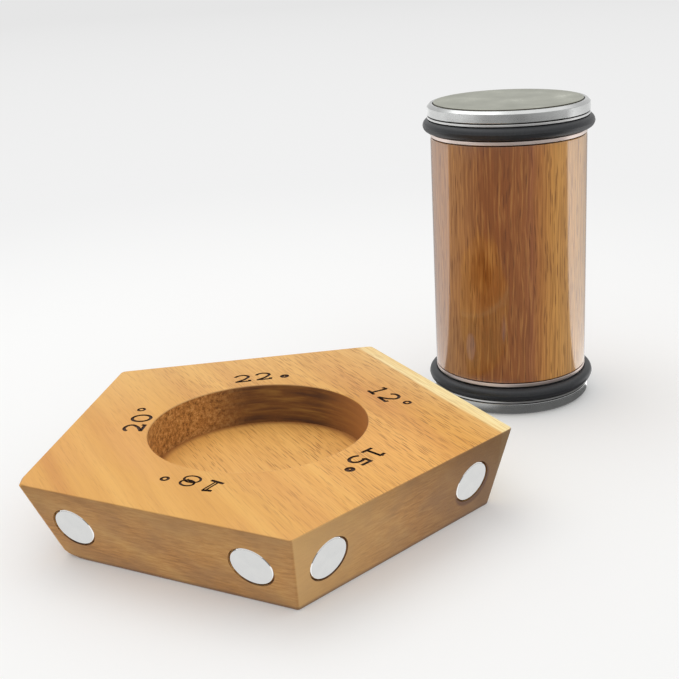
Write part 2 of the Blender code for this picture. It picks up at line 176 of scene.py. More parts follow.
# The barrel is turned on its axis so that its golden side faces right of the front
barrel_turn = math.radians(16.3)

# Studio, in metres, with the level directions behind the roller and to its right
floor_radius = 6.0
floor_segments = 96
behind_roller = (0.316, 0.949, 0.0)
beside_roller = (0.949, -0.316, 0.0)
backdrop_level = 0.81
softbox_size = 0.8
softbox_power = 2.2
softbox_place = (-0.2, 0.3, 0.95)
softbox_aim = Vector((0.03, 0.0, 0.0))

# The photograph's view, solved from the block's ten corners and the roller's edges
camera_place = (-0.017854, -0.308569, 0.153582)
camera_yaw = math.radians(7.560)
camera_pitch = math.radians(18.934)
camera_roll = math.radians(-3.3316)
camera_lens = 62.245

block_low, block_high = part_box("angle_block")
top_height = block_high.z
carrier_low, carrier_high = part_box("upper_disc_carrier")
roller_x = (carrier_low.x + carrier_high.x) / 2
roller_y = (carrier_low.y + carrier_high.y) / 2
roller_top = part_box("diamond_disc")[1].z


# Mesh tools

def put(name, data):
    """Adds an object to the scene."""
    made = bpy.data.objects.new(name, data)
    bpy.context.scene.collection.objects.link(made)
    return made


def mesh_from(shape, name):
    """Turns a bmesh into a mesh whose faces look outward."""
    bmesh.ops.recalc_face_normals(shape, faces=shape.faces)
    mesh = bpy.data.meshes.new(name)
    shape.to_mesh(mesh)
    shape.free()
    return mesh


def eased(outline):
    """Rounds the corners of an outline of (radius, height) points where they also give a rounding."""
    points = []
    count = len(outline)
    for index, (across, height, *roundings) in enumerate(outline):
        here = Vector((across, height))
        if not roundings:
            points.append(here)
            continue
        rounding = roundings[0]
        to_last = (Vector(outline[index - 1][:2]) - here).normalized()
        to_next = (Vector(outline[(index + 1) % count][:2]) - here).normalized()
        half = to_last.angle(to_next) / 2
        centre = here + (to_last + to_next).normalized() * (rounding / math.sin(half))
        start = here + to_last * (rounding / math.tan(half)) - centre
        end = here + to_next * (rounding / math.tan(half)) - centre
        for step in range(fillet_steps + 1):
            points.append(centre + start.slerp(end, step / fillet_steps) * rounding)
    return points


def inward(outline):
    """Turns depths into the roller into heights, and back."""
    return [(across, -depth, *rounding) for across, depth, *rounding in outline]


def arc(centre_radius, centre_height, radius, start, end, steps):
    """Outline points on part of a circle."""
    turns = [start + (end - start) * step / steps for step in range(steps + 1)]
    return [(centre_radius + radius * math.cos(a), centre_height + radius * math.sin(a)) for a in turns]


def turned(name, outline, segments):
    """Turns an outline about Z. One that starts on the axis ends there, and any other closes on itself."""
    shape = bmesh.new()
    turns = [math.tau * step / segments for step in range(segments)]
    rings = []
    for radius, height in eased(outline):
        if radius < mm / 1000:
            rings.append([shape.verts.new((0.0, 0.0, height))] * segments)
        else:
            rings.append([shape.verts.new((radius * math.cos(a), radius * math.sin(a), height)) for a in turns])
    pairs = list(zip(rings, rings[1:]))
    if outline[0][0]:
        pairs.append((rings[-1], rings[0]))
    for near, far in pairs:
        for step in range(segments):
            after = (step + 1) % segments
            corners = list(dict.fromkeys((near[step], near[after], far[after], far[step])))
            if len(corners) > 2:
                shape.faces.new(corners)
    return mesh_from(shape, name)


def cut_thread(mesh, radius, low, high, way):
    """Winds a thread into the part of a turned mesh at this radius, between two heights."""
    for vertex in mesh.vertices:
        across = math.hypot(vertex.co.x, vertex.co.y)
        if abs(across - radius) > seat_gap / 10 or not low < vertex.co.z < high:
            continue
        turn = math.atan2(vertex.co.y, vertex.co.x) / math.tau
        phase = (vertex.co.z / thread_pitch - turn) % 1.0
        fade = min(1.0, (vertex.co.z - low) / thread_pitch, (high - vertex.co.z) / thread_pitch)
        depth = thread_depth * fade * (1.0 - abs(2.0 * phase - 1.0))
        scale = (across + way * depth) / across
        vertex.co.x *= scale
        vertex.co.y *= scale


def thread_rows(radius, start, end):
    """Closely spaced outline points for a thread between two depths."""
    rows = max(2, round(abs(end - start) / thread_pitch * thread_steps))
    return [(radius, start + (end - start) * row / rows) for row in range(1, rows)]


def piece(name, mesh, finish, body, replaces, place=None):
    """Adds one finished piece that stands for a solid of the frame and rides on a body."""
    if not mesh.materials:
        mesh.materials.append(finish)
    mesh.shade_smooth()
    mesh.set_sharp_from_angle(angle=sharp_angle)
    made = put(name, mesh)
    if place is not None:
        made.matrix_world = place
    # Large faces keep their own normals, so that flat and straight pieces mirror truly
    true_faces = made.modifiers.new("true_faces", "WEIGHTED_NORMAL")
    true_faces.keep_sharp = True
    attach(made, body)
    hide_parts(replaces)


# Material tools

# Settings of a MapRange that eases in and out
smooth = {"interpolation_type": "SMOOTHSTEP"}


def linear(hex_colour):
    """An sRGB hex colour as linear RGBA."""
    parts = [int(hex_colour[i:i + 2], 16) / 255 for i in (1, 3, 5)]
    return (*[p / 12.92 if p <= 0.04045 else ((p + 0.055) / 1.055) ** 2.4 for p in parts], 1.0)


def nodes_of(tree):
    """Empties a node tree and returns the function that adds nodes to it."""
    tree.nodes.clear()

    def add(kind, sockets=(), out=0, stops=(), **settings):
        """Adds a node with its settings, fills its sockets, and returns one output, or all where out is None.

        Sockets are filled by name or number, or in order, each from a node's output, a value or a hex colour.
        In order, a MapRange takes the value, where it comes from and goes to, and the result at each.
        """
        made = tree.nodes.new("ShaderNode" + kind)
        for key, value in settings.items():
            setattr(made, key, value)
        for socket, value in sockets.items() if isinstance(sockets, dict) else enumerate(sockets):
            if isinstance(value, bpy.types.NodeSocket):
                tree.links.new(value, made.inputs[socket])
            else:
                made.inputs[socket].default_value = linear(value) if isinstance(value, str) else value
        for index, (position, colour) in enumerate(stops):
            ramp = made.color_ramp.elements
            stop = ramp[index] if index < len(ramp) else ramp.new(position)
            stop.position = position
            stop.color = linear(colour) if isinstance(colour, str) else colour
        return made.outputs if out is None or not len(made.outputs) else made.outputs[out]

    return add


def new_finish(name):
    """A new material, and the function that adds nodes to it."""
    material = bpy.data.materials.new(name)
    material.use_nodes = True
    return material, nodes_of(material.node_tree)


def finish_with(add, sockets):
    add("OutputMaterial", (add("BsdfPrincipled", sockets),))


def grain_frame(add, turn):
    """Object coordinates in millimetres, turned so that X runs along the grain."""
    place = add("TexCoord", out="Object")
    return add("Mapping", {"Vector": place, "Rotation": (0.0, 0.0, turn), "Scale": (1 / mm, 1 / mm, 1 / mm)})


def streaks(add, grain, length, width, seed=0.0, detail=2.0):
    """Noise from 0 to 1 drawn out along X. Length and width are the streaks' sizes in millimetres."""
    size = (1 / length, 1 / width, 1 / width)
    drawn = add("Mapping", {"Vector": grain, "Scale": size, "Location": (seed, seed, seed)})
    return add("TexNoise", {"Vector": drawn, "Scale": 1.0, "Detail": detail, "Roughness": 0.55})


def pores(add, grain, length, width, seed=0.0):
    """Dashes along X, 1 in the middle of each and 0 between them.

    Length and width are the longest, in millimetres.
    """
    size = (0.5 / length, 0.5 / width, 0.5 / width)
    drawn = add("Mapping", {"Vector": grain, "Scale": size, "Location": (seed, seed, seed)})
    near = add("TexVoronoi", {"Vector": drawn, "Scale": 1.0, "Randomness": 1.0}, out="Distance")
    return add("MapRange", (near, 0.32, 0.14), **smooth)


def tinted(add, colour, *tints):
    """Tints a colour in turn, each time by (tint, value, from, to, share) and a limit where there is one.

    The tint grows to its share as the value goes from one number to the other. The limit is a mask for it.
    """
    for tint, value, start, end, share, *limit in tints:
        mask = add("MapRange", (value, start, end, 0.0, share))
        if limit:
            mask = add("Math", (mask, *limit), operation="MULTIPLY", use_clamp=True)
        colour = add("Mix", {0: mask, 6: colour, 7: tint}, out=2, data_type="RGBA")
    return colour


def clouded(add, size, dark, light):
    """Soft clouds of a size, and a tone that goes with them from dark to light."""
    place = add("TexCoord", out="Object")
    cloud = add("TexNoise", {"Vector": place, "Scale": 1 / size, "Detail": 2.0})
    return cloud, add("ValToRGB", (cloud,), stops=((0.3, dark), (0.7, light)))


# Materials

def oiled_acacia():
    """Acacia board, planed, sanded and oiled: honey brown, dark dashes of open pores, a cream sapwood edge."""
    material, add = new_finish("oiled_acacia")
    place = add("TexCoord", out="Object")
    grain = grain_frame(add, grain_turn)
    along, across, height = add("SeparateXYZ", (grain,), out=None)
    # Masks: faces that cut across the grain, faces that look up, and the recess floor
    facing = add("TexCoord", out="Normal")
    ended = add("VectorMath", (facing, grain_along), out="Value", operation="DOT_PRODUCT")
    ended = add("Math", (ended,), operation="ABSOLUTE")
    ended = add("MapRange", (ended, 0.1, 0.6))
    level = add("VectorMath", (facing, up), out="Value", operation="DOT_PRODUCT")
    sunk = add("MapRange", (height, 16.0, 13.0))
    on_floor = add("Math", (level, sunk), operation="MULTIPLY", use_clamp=True)
    # Fine lines show most towards the sapwood and on the recess floor, and least on the left
    lively = add("MapRange", (across, -35.0, 25.0, 0.2, 1.0))
    floor_lively = add("MapRange", (across, -30.0, 0.0, 0.45, 1.0))
    floor_lively = add("Math", (floor_lively, on_floor), operation="MULTIPLY")
    lively = add("Math", (lively, floor_lively), operation="MAXIMUM")
    # Growth rings bend round a pith far to the side of the board and below it
    sway = streaks(add, grain, 90.0, 30.0, 3.0)
    swayed = add("Math", (sway, 9.0, across), operation="MULTIPLY_ADD")
    section = add("CombineXYZ", (swayed, height))
    from_pith = add("VectorMath", (section, (-150.0, -150.0, 0.0)), out="Value", operation="DISTANCE")
    rings = add("CombineXYZ", (along, from_pith))
    wide = streaks(add, rings, 260.0, 6.5, 1.0, 1.0)
    narrow = streaks(add, rings, 90.0, 0.9, 5.0)
    heart = add("ValToRGB", (wide,), stops=(
        (0.28, "#C78638"), (0.45, "#D69B45"), (0.58, "#DEA54F"), (0.74, "#E7B45D"),
    ))
    # The sapwood begins about 52 mm from the block's middle and its edge wavers by under a millimetre
    edge = streaks(add, grain, 40.0, 8.0, 2.0)
    wavering = add("Math", (edge, 1.4, across), operation="MULTIPLY_ADD")
    sap = add("MapRange", (wavering, 52.5, 53.6), **smooth)
    in_heart = add("MapRange", (sap, 0.0, 1.0, 1.0, 0.35))
    sap_colour = add("ValToRGB", (narrow,), stops=((0.3, "#F7DD9C"), (0.7, "#FEF0BC")))
    patches = streaks(add, grain, 55.0, 24.0, 8.0)
    from_back = add("SeparateXYZ", (place,), out="Y")
    warm_middle = Vector((32.0 * mm, -31.0 * mm, top_height))
    from_warm = add("VectorMath", (place, warm_middle), out="Value", operation="DISTANCE")
    wood = tinted(
        add, heart,
        ("#DA9B58", patches, 0.45, 0.75, 0.5),
        ("#AC6E2A", narrow, 0.5, 0.72, 0.2),
        ("#E6BC7C", wavering, 43.0, 53.0, 0.55),
        (sap_colour, sap, 0.0, 1.0, 1.0),
        # The top pales towards its back edge
        ("#EBC279", from_back, 12.0 * mm, 55.0 * mm, 0.45, level),
        # A warm, bright patch lies towards the right
        ("#F0B45E", from_warm, 42.0 * mm, 6.0 * mm, 0.62, in_heart),
        # Painted light: the recess floor is drawn lighter, to offset the shade in the recess
        ("#EEB867", on_floor, 0.0, 1.0, 0.6),
    )
    fine_line = streaks(add, grain, 12.0, 0.32, 13.0, 1.0)
    lines = add("ValToRGB", (fine_line,), stops=((0.3, "#D9C3A6"), (0.5, "#F6EFE4"), (0.68, "#FFFFFF")))
    lining = add("Math", (lively, 0.6), operation="MULTIPLY")
    wood = add("Mix", {0: lining, 6: wood, 7: lines}, out=2, data_type="RGBA", blend_type="MULTIPLY")
    # Open pores, crowded in some bands and thin in others
    long_pores, short_pores = pores(add, grain, 6.5, 0.3), pores(add, grain, 4.2, 0.26, 21.0)
    shown = add("Math", (long_pores, short_pores), operation="MAXIMUM")
    crowd = streaks(add, grain, 40.0, 12.0, 11.0, 1.0)
    crowding = add("MapRange", (crowd, 0.34, 0.6, 0.35, 1.0))
    for share in (crowding, lively, in_heart):
        shown = add("Math", (shown, share), operation="MULTIPLY")
    # End grain drinks more oil, so the sides that cut across the grain are browner, with grey clouds
    level_lines = add("Mapping", {"Vector": grain, "Scale": (0.22, 0.22, 1.6)})
    speck = add("TexNoise", {"Vector": level_lines, "Scale": 1.0, "Detail": 4.0, "Roughness": 0.65})
    bands = add("Math", (wide, 0.45, speck), operation="MULTIPLY_ADD")
    end_grain = add("ValToRGB", (bands,), stops=((0.54, "#92632C"), (0.72, "#B07B3C"), (0.9, "#C09252")))
    clouds = streaks(add, grain, 30.0, 9.0, 17.0)
    from_left = add("SeparateXYZ", (place,), out="X")
    rightward = add("SeparateXYZ", (facing,), out="X")
    rightward = add("MapRange", (rightward, 0.0, 0.4))
    end_grain = tinted(
        add, end_grain,
        ("#8F6A44", clouds, 0.42, 0.66, 0.5),
        ("#93704A", height, 15.0, 23.0, 0.4),
        # The side on the right is golden towards the front corner and dark at its far end, partly darker wood and
        # partly painted shadow
        ("#CDA366", from_left, 35.0 * mm, 0.0, 0.85, rightward),
        ("#6A4A2B", from_left, 30.0 * mm, 58.0 * mm, 0.85, rightward),
    )
    # A mask for the painted shade at the foot of the recess wall
    bore_centre = Vector((recess_offset, 0.0, top_height - recess_depth))
    shade_at_wall_foot = add("VectorMath", (place, bore_centre), out="Value", operation="DISTANCE")
    shade_at_wall_foot = add("MapRange", (shade_at_wall_foot, recess_radius - 3.0 * mm, recess_radius), **smooth)
    # A dark crescent lies under one magnet
    crescent_middle = dict(magnet_places())["magnet_15_right"] @ Vector((0.5 * mm, -1.1 * mm, 0.0))
    dark_crescent = add("VectorMath", (place, crescent_middle), out="Value", operation="DISTANCE")
    dark_crescent = add("MapRange", (dark_crescent, 7.3 * mm, 6.3 * mm), **smooth)
    wood = tinted(
        add, wood,
        ("#A26B2C", shown, 0.0, 1.0, 1.0),
        # Painted shade: the recess floor darkens where it meets the wall
        ("#9A5F2E", shade_at_wall_foot, 0.0, 1.0, 0.85, on_floor),
        (end_grain, ended, 0.0, 1.0, 0.9),
        ("#5B3216", dark_crescent, 0.0, 1.0, 0.75),
        # Painted shade: the lower edge darkens where the board meets the table
        ("#5B3A20", height, 1.5, 0.4, 0.8),
    )
    fibre = streaks(add, grain, 12.0, 0.35, 4.0)
    relief = add("Math", (shown, -1.0, fibre), operation="MULTIPLY_ADD")
    bump = add("Bump", {"Height": relief, "Strength": 0.35, "Distance": 0.05 * mm})
    rough = add("MapRange", (fibre, 0.0, 1.0, 0.46, 0.62))
    finish_with(add, {"Base Color": wood, "Roughness": rough, "Normal": bump, "IOR": 1.47})
    return material


def bored_acacia():
    """The recess wall: acacia cut by a router, dark where it burnished, speckled where the grain tore, and
    lighter on its side walls as painted light.
    """
    material, add = new_finish("bored_acacia")
    grain = grain_frame(add, grain_turn)
    # The cutter burnished it in level rings
    rings = add("Mapping", {"Vector": grain, "Scale": (0.09, 0.09, 1.0)})
    layers = add("TexNoise", {"Vector": rings, "Scale": 0.6, "Detail": 4.0, "Roughness": 0.6})
    burnished = add("ValToRGB", (layers,), stops=((0.34, "#523521"), (0.5, "#714A25"), (0.66, "#8F6A35")))
    torn = add("TexNoise", {"Vector": grain, "Scale": 0.8, "Detail": 6.0, "Roughness": 0.8})
    flecks = add("ValToRGB", (torn,), stops=((0.36, "#6E4A22"), (0.5, "#BC8444"), (0.64, "#E4B570")))
    # The grain tears on the wall that faces +X and a little to the front, and its light flecks are partly painted
    # light
    facing = add("TexCoord", out="Normal")
    side = add("VectorMath", (facing, (0.95, -0.3, 0.0)), out="Value", operation="DOT_PRODUCT")
    torn_and_lit = add("MapRange", (side, 0.25, 0.85), **smooth)
    wood = tinted(
        add, burnished,
        # Painted light: the opposite wall is drawn lighter
        ("#B97E44", side, -0.4, -0.9, 0.8),
        (flecks, torn_and_lit, 0.0, 1.0, 1.0),
    )
    bump = add("Bump", {"Height": torn, "Strength": 0.5, "Distance": 0.15 * mm})
    finish_with(add, {"Base Color": wood, "Roughness": 0.62, "Normal": bump, "IOR": 1.47})
    return material


def burnt_wood_and_gap_shade():
    """Laser-burnt acacia: dark brown char, uneven and matt. It also lines the magnet pockets' mouths as painted
    shade.
    """
    material, add = new_finish("burnt_wood_and_gap_shade")
    char = streaks(add, grain_frame(add, grain_turn), 1.2, 0.4)
    tone = add("ValToRGB", (char,), stops=((0.3, "#1F0D04"), (0.7, "#4A2A12")))
    bump = add("Bump", {"Height": char, "Strength": 0.4, "Distance": 0.08 * mm})
    finish_with(add, {"Base Color": tone, "Roughness": 0.85, "Normal": bump})
    return material


def lacquered_walnut():
    """Turned hardwood under thick satin lacquer: red-brown and straight-grained, with a golden side."""
    material, add = new_finish("lacquered_walnut")
    right, deep, height = add("SeparateXYZ", (grain_frame(add, barrel_turn),), out=None)
    grain = add("CombineXYZ", (height, right, deep))
    sway = streaks(add, grain, 160.0, 20.0, 6.0, 1.0)
    ripple = streaks(add, grain, 26.0, 7.0, 9.0)
    swayed = add("Math", (sway, 5.0, right), operation="MULTIPLY_ADD")
    swayed = add("Math", (ripple, 2.2, swayed), operation="MULTIPLY_ADD")
    band = add("MapRange", (swayed, -22.0, 29.0))
    tone = add("ValToRGB", (band,), stops=(
        (0.0, "#A67648"), (0.14, "#B47F48"), (0.32, "#8E521F"), (0.46, "#8D4F1C"), (0.6, "#985A28"),
        (0.65, "#995A31"), (0.7, "#B47436"), (0.8, "#D09548"), (1.0, "#C99C62"),
    ))
    fibres = add("CombineXYZ", (height, swayed, deep))
    fine = streaks(add, fibres, 20.0, 0.5, 2.0, 3.0)
    light = streaks(add, fibres, 14.0, 0.7, 7.0)
    dashes = pores(add, fibres, 5.0, 0.4, 3.0)
    tone = tinted(
        add, tone,
        ("#73400F", fine, 0.42, 0.66, 0.55),
        ("#D0934C", light, 0.5, 0.7, 0.45),
        ("#5E3008", dashes, 0.0, 1.0, 0.6),
    )
    relief = add("Math", (dashes, -1.0, fine), operation="MULTIPLY_ADD")
    bump = add("Bump", {"Height": relief, "Strength": 0.1, "Distance": 0.03 * mm})
    finish_with(add, {
        "Base Color": tone, "Roughness": 0.5, "Normal": bump, "IOR": 1.5, "Specular IOR Level": 0.1,
        "Coat Weight": 1.0, "Coat Roughness": 0.1, "Coat IOR": 1.8,
    })
    return material


def machined(name, dark, light, roughness, mark_width, mark_strength):
    """A turned metal: fine concentric tool marks round the axis, which draw the light into rings.

    Real marks are a few hundredths of a millimetre apart. These are drawn coarser, so that they show: the
    mark width is in millimetres.
    """
    material, add = new_finish(name)
    place = add("TexCoord", out="Object")
    flat = add("VectorMath", (place, (1.0, 1.0, 0.0)), operation="MULTIPLY")
    radius = add("VectorMath", (flat,), out="Value", operation="LENGTH")
    rings = add("CombineXYZ", (radius, add("SeparateXYZ", (place,), out="Z")))
    marks = add("TexNoise", {"Vector": rings, "Scale": 1 / (mark_width * mm), "Detail": 2.0})
    _, tone = clouded(add, 9.0 * mm, dark, light)
    rough = add("MapRange", (marks, 0.0, 1.0, roughness - 0.06, roughness + 0.08))
    bump = add("Bump", {"Height": marks, "Strength": mark_strength, "Distance": 0.01 * mm})
    finish_with(add, {"Base Color": tone, "Metallic": 1.0, "Roughness": rough, "Normal": bump})
    return material


def nickel_plate(name, dark, light):
    """Bright nickel plate on a magnet: a pale mirror, very faintly clouded."""
    material, add = new_finish(name)
    cloud, tone = clouded(add, 4.0 * mm, dark, light)
    rough = add("MapRange", (cloud, 0.0, 1.0, 0.05, 0.08))
    finish_with(add, {"Base Color": tone, "Metallic": 1.0, "Roughness": rough})
    return material


def black_rubber():
    """Moulded nitrile ring: charcoal, satin, with a very fine skin, drawn 0.5 mm wide so that it shows."""
    material, add = new_finish("black_rubber")
    skin, tone = clouded(add, 0.5 * mm, "#1C1E21", "#26282C")
    bump = add("Bump", {"Height": skin, "Strength": 0.2, "Distance": 0.03 * mm})
    finish_with(add, {
        "Base Color": tone, "Roughness": 0.45, "Normal": bump, "IOR": 1.52, "Specular IOR Level": 0.4,
    })
    return material


def grit(name, dark, light, sparkle, metallic, roughness):
    """An abrasive face: fine grains in a flat bond, with a few brighter points.

    The real grains are too fine to show, so they are drawn 0.25 mm wide.
    """
    material, add = new_finish(name)
    place = add("TexCoord", out="Object")
    grains = add("TexVoronoi", {"Vector": place, "Scale": 1 / (0.25 * mm)}, out="Color")
    value = add("RGBToBW", (grains,))
    cloud = add("TexNoise", {"Vector": place, "Scale": 1 / (12.0 * mm), "Detail": 3.0})
    mixed = add("Math", (value, 0.35, cloud), operation="MULTIPLY_ADD")
    tone = add("ValToRGB", (mixed,), stops=((0.35, dark), (0.85, light), (0.97, sparkle)))
    rough = add("MapRange", (value, 0.0, 1.0, roughness - 0.12, roughness + 0.1))
    bump = add("Bump", {"Height": value, "Strength": 0.15, "Distance": 0.03 * mm})
    finish_with(add, {"Base Color": tone, "Metallic": metallic, "Roughness": rough, "Normal": bump})
    return material


def disc_edge():
    """The discs' cut edge: dark backing plate and bond in thin layers."""
    material, add = new_finish("disc_edge")
    place = add("TexCoord", out="Object")
    layers = add("Mapping", {"Vector": place, "Scale": (1 / (3.0 * mm), 1 / (3.0 * mm), 1 / (0.15 * mm))})
    layer = add("TexNoise", {"Vector": layers, "Scale": 1.0, "Detail": 2.0})
    tone = add("ValToRGB", (layer,), stops=((0.3, "#3A372C"), (0.7, "#5A5646")))
    finish_with(add, {"Base Color": tone, "Roughness": 0.6})
    return material


def moulded_nylon():
    """Natural nylon cage: cream, slightly waxy."""
    material, add = new_finish("moulded_nylon")
    _, tone = clouded(add, 2.5 * mm, "#D9D0B6", "#E8E1CC")
    finish_with(add, {
        "Base Color": tone, "Roughness": 0.42, "IOR": 1.53,
        "Subsurface Weight": 0.1, "Subsurface Scale": 0.5 * mm,
    })
    return material


# Angle block

def level_aim(turn):
    """The level direction at an angle from +X."""
    return Vector((math.cos(turn), math.sin(turn), 0.0))


def side_normals():
    """Each side's angle name and the direction it faces, going round clockwise as seen from above."""
    step = 360.0 / len(knife_angles)
    for index, name in enumerate(knife_angles):
        yield name, level_aim(math.radians(first_corner - (index + 0.5) * step))


def side_distance(name, height):
    """How far a leaning side is from the block's middle at a height."""
    top_distance = corner_radius * math.cos(math.pi / len(knife_angles))
    return top_distance - (top_height - height) * math.tan(math.radians(knife_angles[name]))


def block_corners(height):
    """The block's five sharp corners at a height, each where two sides meet."""
    sides = list(side_normals())
    corners = []
    for index, (name, normal) in enumerate(sides):
        last_name, last_normal = sides[index - 1]
        here = side_distance(name, height)
        last = side_distance(last_name, height)
        spread = last_normal.x * normal.y - last_normal.y * normal.x
        x = (last * normal.y - here * last_normal.y) / spread
        y = (here * last_normal.x - last * normal.x) / spread
        corners.append(Vector((x, y, height)))
    return corners


def wear_tip(shape, tip, way, radius, tilts):
    """Rounds one tip of the board by flat cuts that touch a ball. Way is 1 for a top tip, -1 for a bottom."""
    step = math.tau / len(knife_angles)
    outward = level_aim(math.radians(first_corner) - worn_corner * step)
    lean = math.radians(knife_angles["18"] + knife_angles["20"]) / 2
    inset = radius * (1 + way * math.sin(lean)) / (math.cos(step / 2) * math.cos(lean))
    middle = tip - outward * inset - up * (way * radius)
    for tilt in tilts:
        for swing in worn_swings:
            level = Matrix.Rotation(math.radians(swing), 3, "Z") @ outward
            normal = level * math.cos(math.radians(tilt)) + up * math.sin(math.radians(tilt))
            whole = shape.verts[:] + shape.edges[:] + shape.faces[:]
            cut = bmesh.ops.bisect_plane(
                shape, geom=whole, plane_co=middle + normal * radius, plane_no=normal, clear_outer=True,
            )
            rim = [part for part in cut["geom_cut"] if isinstance(part, bmesh.types.BMEdge)]
            bmesh.ops.contextual_create(shape, geom=rim)


def block_mesh():
    """The leaning five-sided board, with rounded corners, eased edges and one worn corner."""
    shape = bmesh.new()
    low = [shape.verts.new(corner) for corner in block_corners(block_low.z)]
    high = [shape.verts.new(corner) for corner in block_corners(top_height)]
    shape.faces.new(low)
    shape.faces.new(high)
    for index, corner in enumerate(low):
        after = (index + 1) % len(low)
        shape.faces.new((corner, low[after], high[after], high[index]))
    bmesh.ops.recalc_face_normals(shape, faces=shape.faces)
    for index, rounding in enumerate(corner_roundings):
        upright = shape.edges.get((low[index], high[index]))
        bmesh.ops.bevel(
            shape, geom=[upright], offset=rounding, segments=corner_segments, profile=0.5, affect="EDGES",
        )
    rims = [e for e in shape.edges if abs(e.verts[0].co.z - e.verts[1].co.z) < top_height / 2]
    bmesh.ops.bevel(
        shape, geom=rims, offset=edge_rounding, segments=fillet_steps, profile=0.5, affect="EDGES",
    )
    for height, (way, radius, tilts) in zip((block_low.z, top_height), worn_tips):
        wear_tip(shape, block_corners(height)[worn_corner], way, radius, tilts)
    return mesh_from(shape, "angle_block")


def magnet_places():
    """Name and placing matrix of each magnet's outer face: local +Z looks out of the leaning side."""
    middle_height = top_height / 2
    for name, level in side_normals():
        lean = math.radians(knife_angles[name])
        out = level * math.cos(lean) - up * math.sin(lean)
        along = up.cross(level)
        middle = level * side_distance(name, middle_height) + up * middle_height
        for side, way in (("left", -1), ("right", 1)):
            place = middle + along * (way * magnet_pitch / 2)
            turn = Matrix((along, out.cross(along), out)).transposed().to_4x4()
            yield f"magnet_{name}_{side}", Matrix.Translation(place) @ turn


def bow(centre, across, rise, start, end, steps=16):
    """Points on part of an ellipse, in millimetres. Angles run anticlockwise from the right."""
    turns = [math.radians(start + (end - start) * step / steps) for step in range(steps + 1)]
    return [(centre[0] + across * math.cos(a), centre[1] + rise * math.sin(a)) for a in turns]


def loop(centre, across, rise, steps, width):
    """A closed stroke round an ellipse."""
    return bow(centre, across, rise, 0, 360, steps)[:-1], width, True


def digit_strokes():
    """Each sign as strokes of (points, width, closed): plain typewriter figures 6.2 mm high. Points are in mm."""
    return {
        "0": [loop((0.0, 0.0), 2.35, 2.75, 36, digit_stroke)],
        "1": [
            ([(0.0, 2.7), (0.0, -2.7)], digit_stroke, False),
            ([(-1.75, 2.15), (-0.9, 2.25), (0.0, 2.75)], digit_stroke, False),
            ([(-1.95, -2.72), (1.95, -2.72)], digit_stroke, False),
        ],
        # The 1 and 8 of one side are burnt as outlines: a double stem, and loops that run over each other
        "outlined 1": [
            ([(-0.42, 2.3), (-0.42, -2.6)], thin_stroke, False),
            ([(0.42, 2.9), (0.42, -2.6)], thin_stroke, False),
            ([(-2.1, 1.95), (-1.1, 2.2), (0.42, 2.85)], digit_stroke, False),
            ([(-2.1, -2.72), (2.1, -2.72)], digit_stroke, False),
        ],
        "2": [
            (
                [*bow((0.0, 1.1), 2.05, 1.65, 172, -28), (0.6, -1.1), (-1.2, -2.2), (-2.0, -2.6)],
                digit_stroke, False,
            ),
            ([(-2.3, -2.72), (2.1, -2.72), (2.3, -1.7)], digit_stroke, False),
        ],
        "5": [
            ([(1.9, 2.72), (-1.5, 2.72), (-1.6, 0.35)], digit_stroke, False),
            (bow((0.1, -0.95), 2.1, 1.8, 145, -150, 24), digit_stroke, False),
        ],
        "8": [
            loop((-0.1, 1.25), 2.0, 1.55, 28, loop_stroke),
            loop((0.1, -1.05), 2.4, 1.75, 28, loop_stroke),
            ([(-1.3, 0.75), (0.0, 0.1), (1.3, -0.5)], thin_stroke, False),
        ],
        "degree": [loop((0.0, 0.0), 0.95, 0.95, 24, ring_stroke)],
        "bold degree": [loop((0.0, 0.0), 0.85, 0.85, 24, bold_stroke)],
    }


def add_stroke(shape, points, width, closed, place, depth):
    """Adds one stroke as a closed strip from above the top face down to its depth."""
    path = [Vector(point) * mm for point in points]
    count = len(path)
    rows = []
    for index, here in enumerate(path):
        last = path[index - 1] if closed or index else here
        after = path[(index + 1) % count] if closed or index < count - 1 else here
        ahead = (after - here).normalized() if after != here else (here - last).normalized()
        behind = (here - last).normalized() if here != last else ahead
        aim = (ahead + behind).normalized()
        square = Vector((-aim.y, aim.x))
        half = width / 2 / max(0.5, aim.dot(ahead))
        row = []
        for way in (1, -1):
            for level in (cut_overrun, -depth):
                spot = here + square * (way * half)
                row.append(shape.verts.new(place @ Vector((spot.x, spot.y, level))))
        rows.append(row)
    pairs = list(zip(rows, rows[1:]))
    if closed:
        pairs.append((rows[-1], rows[0]))
    for near, far in pairs:
        for a, b in ((0, 1), (1, 3), (3, 2), (2, 0)):
            shape.faces.new((near[a], near[b], far[b], far[a]))
    if not closed:
        for row in (rows[0], rows[-1]):
            shape.faces.new((row[0], row[1], row[3], row[2]))


def number_mesh():
    """All the burnt figures as one cutter."""
    shape = bmesh.new()
    signs = digit_strokes()
    count = 0
    for name, outward in side_normals():
        reading = outward.cross(up)
        edge = outward * side_distance(name, top_height)
        turn = Matrix((reading, outward, up)).transposed().to_4x4()
        tilt = Matrix.Rotation(math.radians(number_tilts.get(name, 0.0)), 4, "Z")
        for sign, along, inset in number_places[name]:
            middle = edge + reading * (along * mm) - outward * (inset * mm) + up * top_height
            place = Matrix.Translation(middle) @ turn @ tilt
            for points, width, closed in signs[sign]:
                # Each stroke ends at its own depth, so that no two floors meet in one plane
                depth = engraving_depth + (count % floor_levels) * floor_step
                add_stroke(shape, points, width, closed, place, depth)
                count += 1
    return mesh_from(shape, "numbers")


